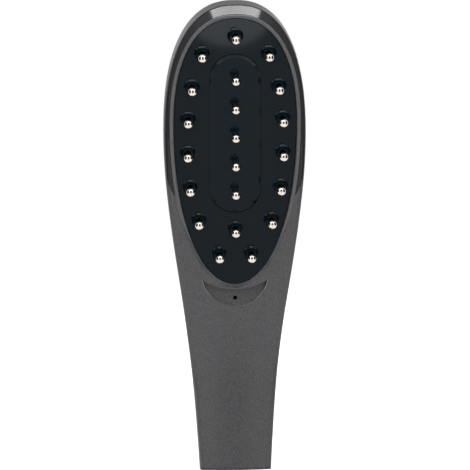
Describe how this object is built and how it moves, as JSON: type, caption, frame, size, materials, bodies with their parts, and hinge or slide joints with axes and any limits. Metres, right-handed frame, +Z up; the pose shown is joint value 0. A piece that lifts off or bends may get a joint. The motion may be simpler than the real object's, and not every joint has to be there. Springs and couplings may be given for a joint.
{
  "type": "scalp serum applicator",
  "caption": "Hand-held scalp serum applicator: a leaning oval head with ball tips pressed in by the scalp, a gloss trim band and a matte handle with a rear power button.",
  "frame": {"origin": "middle of the flat end of the handle, on the middle line of the casing", "axes": "+Z up the handle from its flat end, -Y out of the front towards which the tips point, +X to the right seen from the front"},
  "size_m": [0.0606, 0.0617, 0.2024],
  "materials": {
    "casing": "fine metallic grain, matte",
    "gloss_black": "polished",
    "island_black": "polished",
    "button_black": "satin",
    "nickel": "polished",
    "silicone": "soft matte",
    "spring_steel": "drawn",
    "manifold_plastic": "moulded",
    "tank_plastic": "moulded, milky",
    "board": "solder mask",
    "battery": "sleeve",
    "motor_steel": "plain",
    "light_pipe": "smoked clear"
  },
  "bodies": {
    "casing": {"battery_cell": "battery", "centre_island": "island_black", "charge_port": "motor_steel", "circuit_board": "board", "contact_panel": "gloss_black", "end_cap": "casing", "front_shell": "casing", "island_pin_1": "nickel", "island_pin_2": "nickel", "island_pin_3": "nickel", "island_pin_4": "nickel", "island_pin_5": "nickel", "light_pipe": "light_pipe", "manifold_screws": "spring_steel", "panel_gasket": "silicone", "port_tongue": "island_black", "rear_shell": "casing", "serum_tank": "tank_plastic", "tact_switch": "island_black", "tip_springs": "spring_steel", "trim_band": "gloss_black", "valve_manifold": "manifold_plastic", "vibration_motor": "motor_steel"},
    "tip_01": {"valve_tip_01": "nickel"},
    "tip_02": {"valve_tip_02": "nickel"},
    "tip_03": {"valve_tip_03": "nickel"},
    "tip_04": {"valve_tip_04": "nickel"},
    "tip_05": {"valve_tip_05": "nickel"},
    "tip_06": {"valve_tip_06": "nickel"},
    "tip_07": {"valve_tip_07": "nickel"},
    "tip_08": {"valve_tip_08": "nickel"},
    "tip_09": {"valve_tip_09": "nickel"},
    "tip_10": {"valve_tip_10": "nickel"},
    "tip_11": {"valve_tip_11": "nickel"},
    "tip_12": {"valve_tip_12": "nickel"},
    "tip_13": {"valve_tip_13": "nickel"},
    "tip_14": {"valve_tip_14": "nickel"},
    "tip_15": {"valve_tip_15": "nickel"},
    "tip_16": {"valve_tip_16": "nickel"},
    "button": {"power_button": "button_black", "switch_plunger": "island_black"},
    "plug": {"fill_plug": "silicone"},
    "rotor": {"motor_shaft": "spring_steel", "motor_weight": "motor_steel"}
  },
  "joints": [
    {"name": "tip_press_01", "type": "slide", "parent": "casing", "child": "tip_01", "axis": [0, 0.9781, 0.2079], "range_m": [0, 0.0012], "stiffness_N_per_m": 300, "deforming": ["tip_springs"]},
    {"name": "tip_press_02", "type": "slide", "parent": "casing", "child": "tip_02", "axis": [0, 0.9781, 0.2079], "range_m": [0, 0.0012], "stiffness_N_per_m": 300, "deforming": ["tip_springs"]},
    {"name": "tip_press_03", "type": "slide", "parent": "casing", "child": "tip_03", "axis": [0, 0.9781, 0.2079], "range_m": [0, 0.0012], "stiffness_N_per_m": 300, "deforming": ["tip_springs"]},
    {"name": "tip_press_04", "type": "slide", "parent": "casing", "child": "tip_04", "axis": [0, 0.9781, 0.2079], "range_m": [0, 0.0012], "stiffness_N_per_m": 300, "deforming": ["tip_springs"]},
    {"name": "tip_press_05", "type": "slide", "parent": "casing", "child": "tip_05", "axis": [0, 0.9781, 0.2079], "range_m": [0, 0.0012], "stiffness_N_per_m": 300, "deforming": ["tip_springs"]},
    {"name": "tip_press_06", "type": "slide", "parent": "casing", "child": "tip_06", "axis": [0, 0.9781, 0.2079], "range_m": [0, 0.0012], "stiffness_N_per_m": 300, "deforming": ["tip_springs"]},
    {"name": "tip_press_07", "type": "slide", "parent": "casing", "child": "tip_07", "axis": [0, 0.9781, 0.2079], "range_m": [0, 0.0012], "stiffness_N_per_m": 300, "deforming": ["tip_springs"]},
    {"name": "tip_press_08", "type": "slide", "parent": "casing", "child": "tip_08", "axis": [0, 0.9781, 0.2079], "range_m": [0, 0.0012], "stiffness_N_per_m": 300, "deforming": ["tip_springs"]},
    {"name": "tip_press_09", "type": "slide", "parent": "casing", "child": "tip_09", "axis": [0, 0.9781, 0.2079], "range_m": [0, 0.0012], "stiffness_N_per_m": 300, "deforming": ["tip_springs"]},
    {"name": "tip_press_10", "type": "slide", "parent": "casing", "child": "tip_10", "axis": [0, 0.9781, 0.2079], "range_m": [0, 0.0012], "stiffness_N_per_m": 300, "deforming": ["tip_springs"]},
    {"name": "tip_press_11", "type": "slide", "parent": "casing", "child": "tip_11", "axis": [0, 0.9781, 0.2079], "range_m": [0, 0.0012], "stiffness_N_per_m": 300, "deforming": ["tip_springs"]},
    {"name": "tip_press_12", "type": "slide", "parent": "casing", "child": "tip_12", "axis": [0, 0.9781, 0.2079], "range_m": [0, 0.0012], "stiffness_N_per_m": 300, "deforming": ["tip_springs"]},
    {"name": "tip_press_13", "type": "slide", "parent": "casing", "child": "tip_13", "axis": [0, 0.9781, 0.2079], "range_m": [0, 0.0012], "stiffness_N_per_m": 300, "deforming": ["tip_springs"]},
    {"name": "tip_press_14", "type": "slide", "parent": "casing", "child": "tip_14", "axis": [0, 0.9781, 0.2079], "range_m": [0, 0.0012], "stiffness_N_per_m": 300, "deforming": ["tip_springs"]},
    {"name": "tip_press_15", "type": "slide", "parent": "casing", "child": "tip_15", "axis": [0, 0.9781, 0.2079], "range_m": [0, 0.0012], "stiffness_N_per_m": 300, "deforming": ["tip_springs"]},
    {"name": "tip_press_16", "type": "slide", "parent": "casing", "child": "tip_16", "axis": [0, 0.9781, 0.2079], "range_m": [0, 0.0012], "stiffness_N_per_m": 300, "deforming": ["tip_springs"]},
    {"name": "button_press", "type": "slide", "parent": "casing", "child": "button", "axis": [0, -1, 0], "range_m": [0, 0.0008], "stiffness_N_per_m": 2500},
    {"name": "plug_pull", "type": "slide", "parent": "casing", "child": "plug", "axis": [0, 0.9781, 0.2079], "range_m": [0, 0.012]},
    {"name": "motor_spin", "type": "hinge", "parent": "casing", "child": "rotor", "pos_m": [0.0065, -0.0033, 0.0714], "axis": [0, 0, 1], "continuous": true}
  ]
}
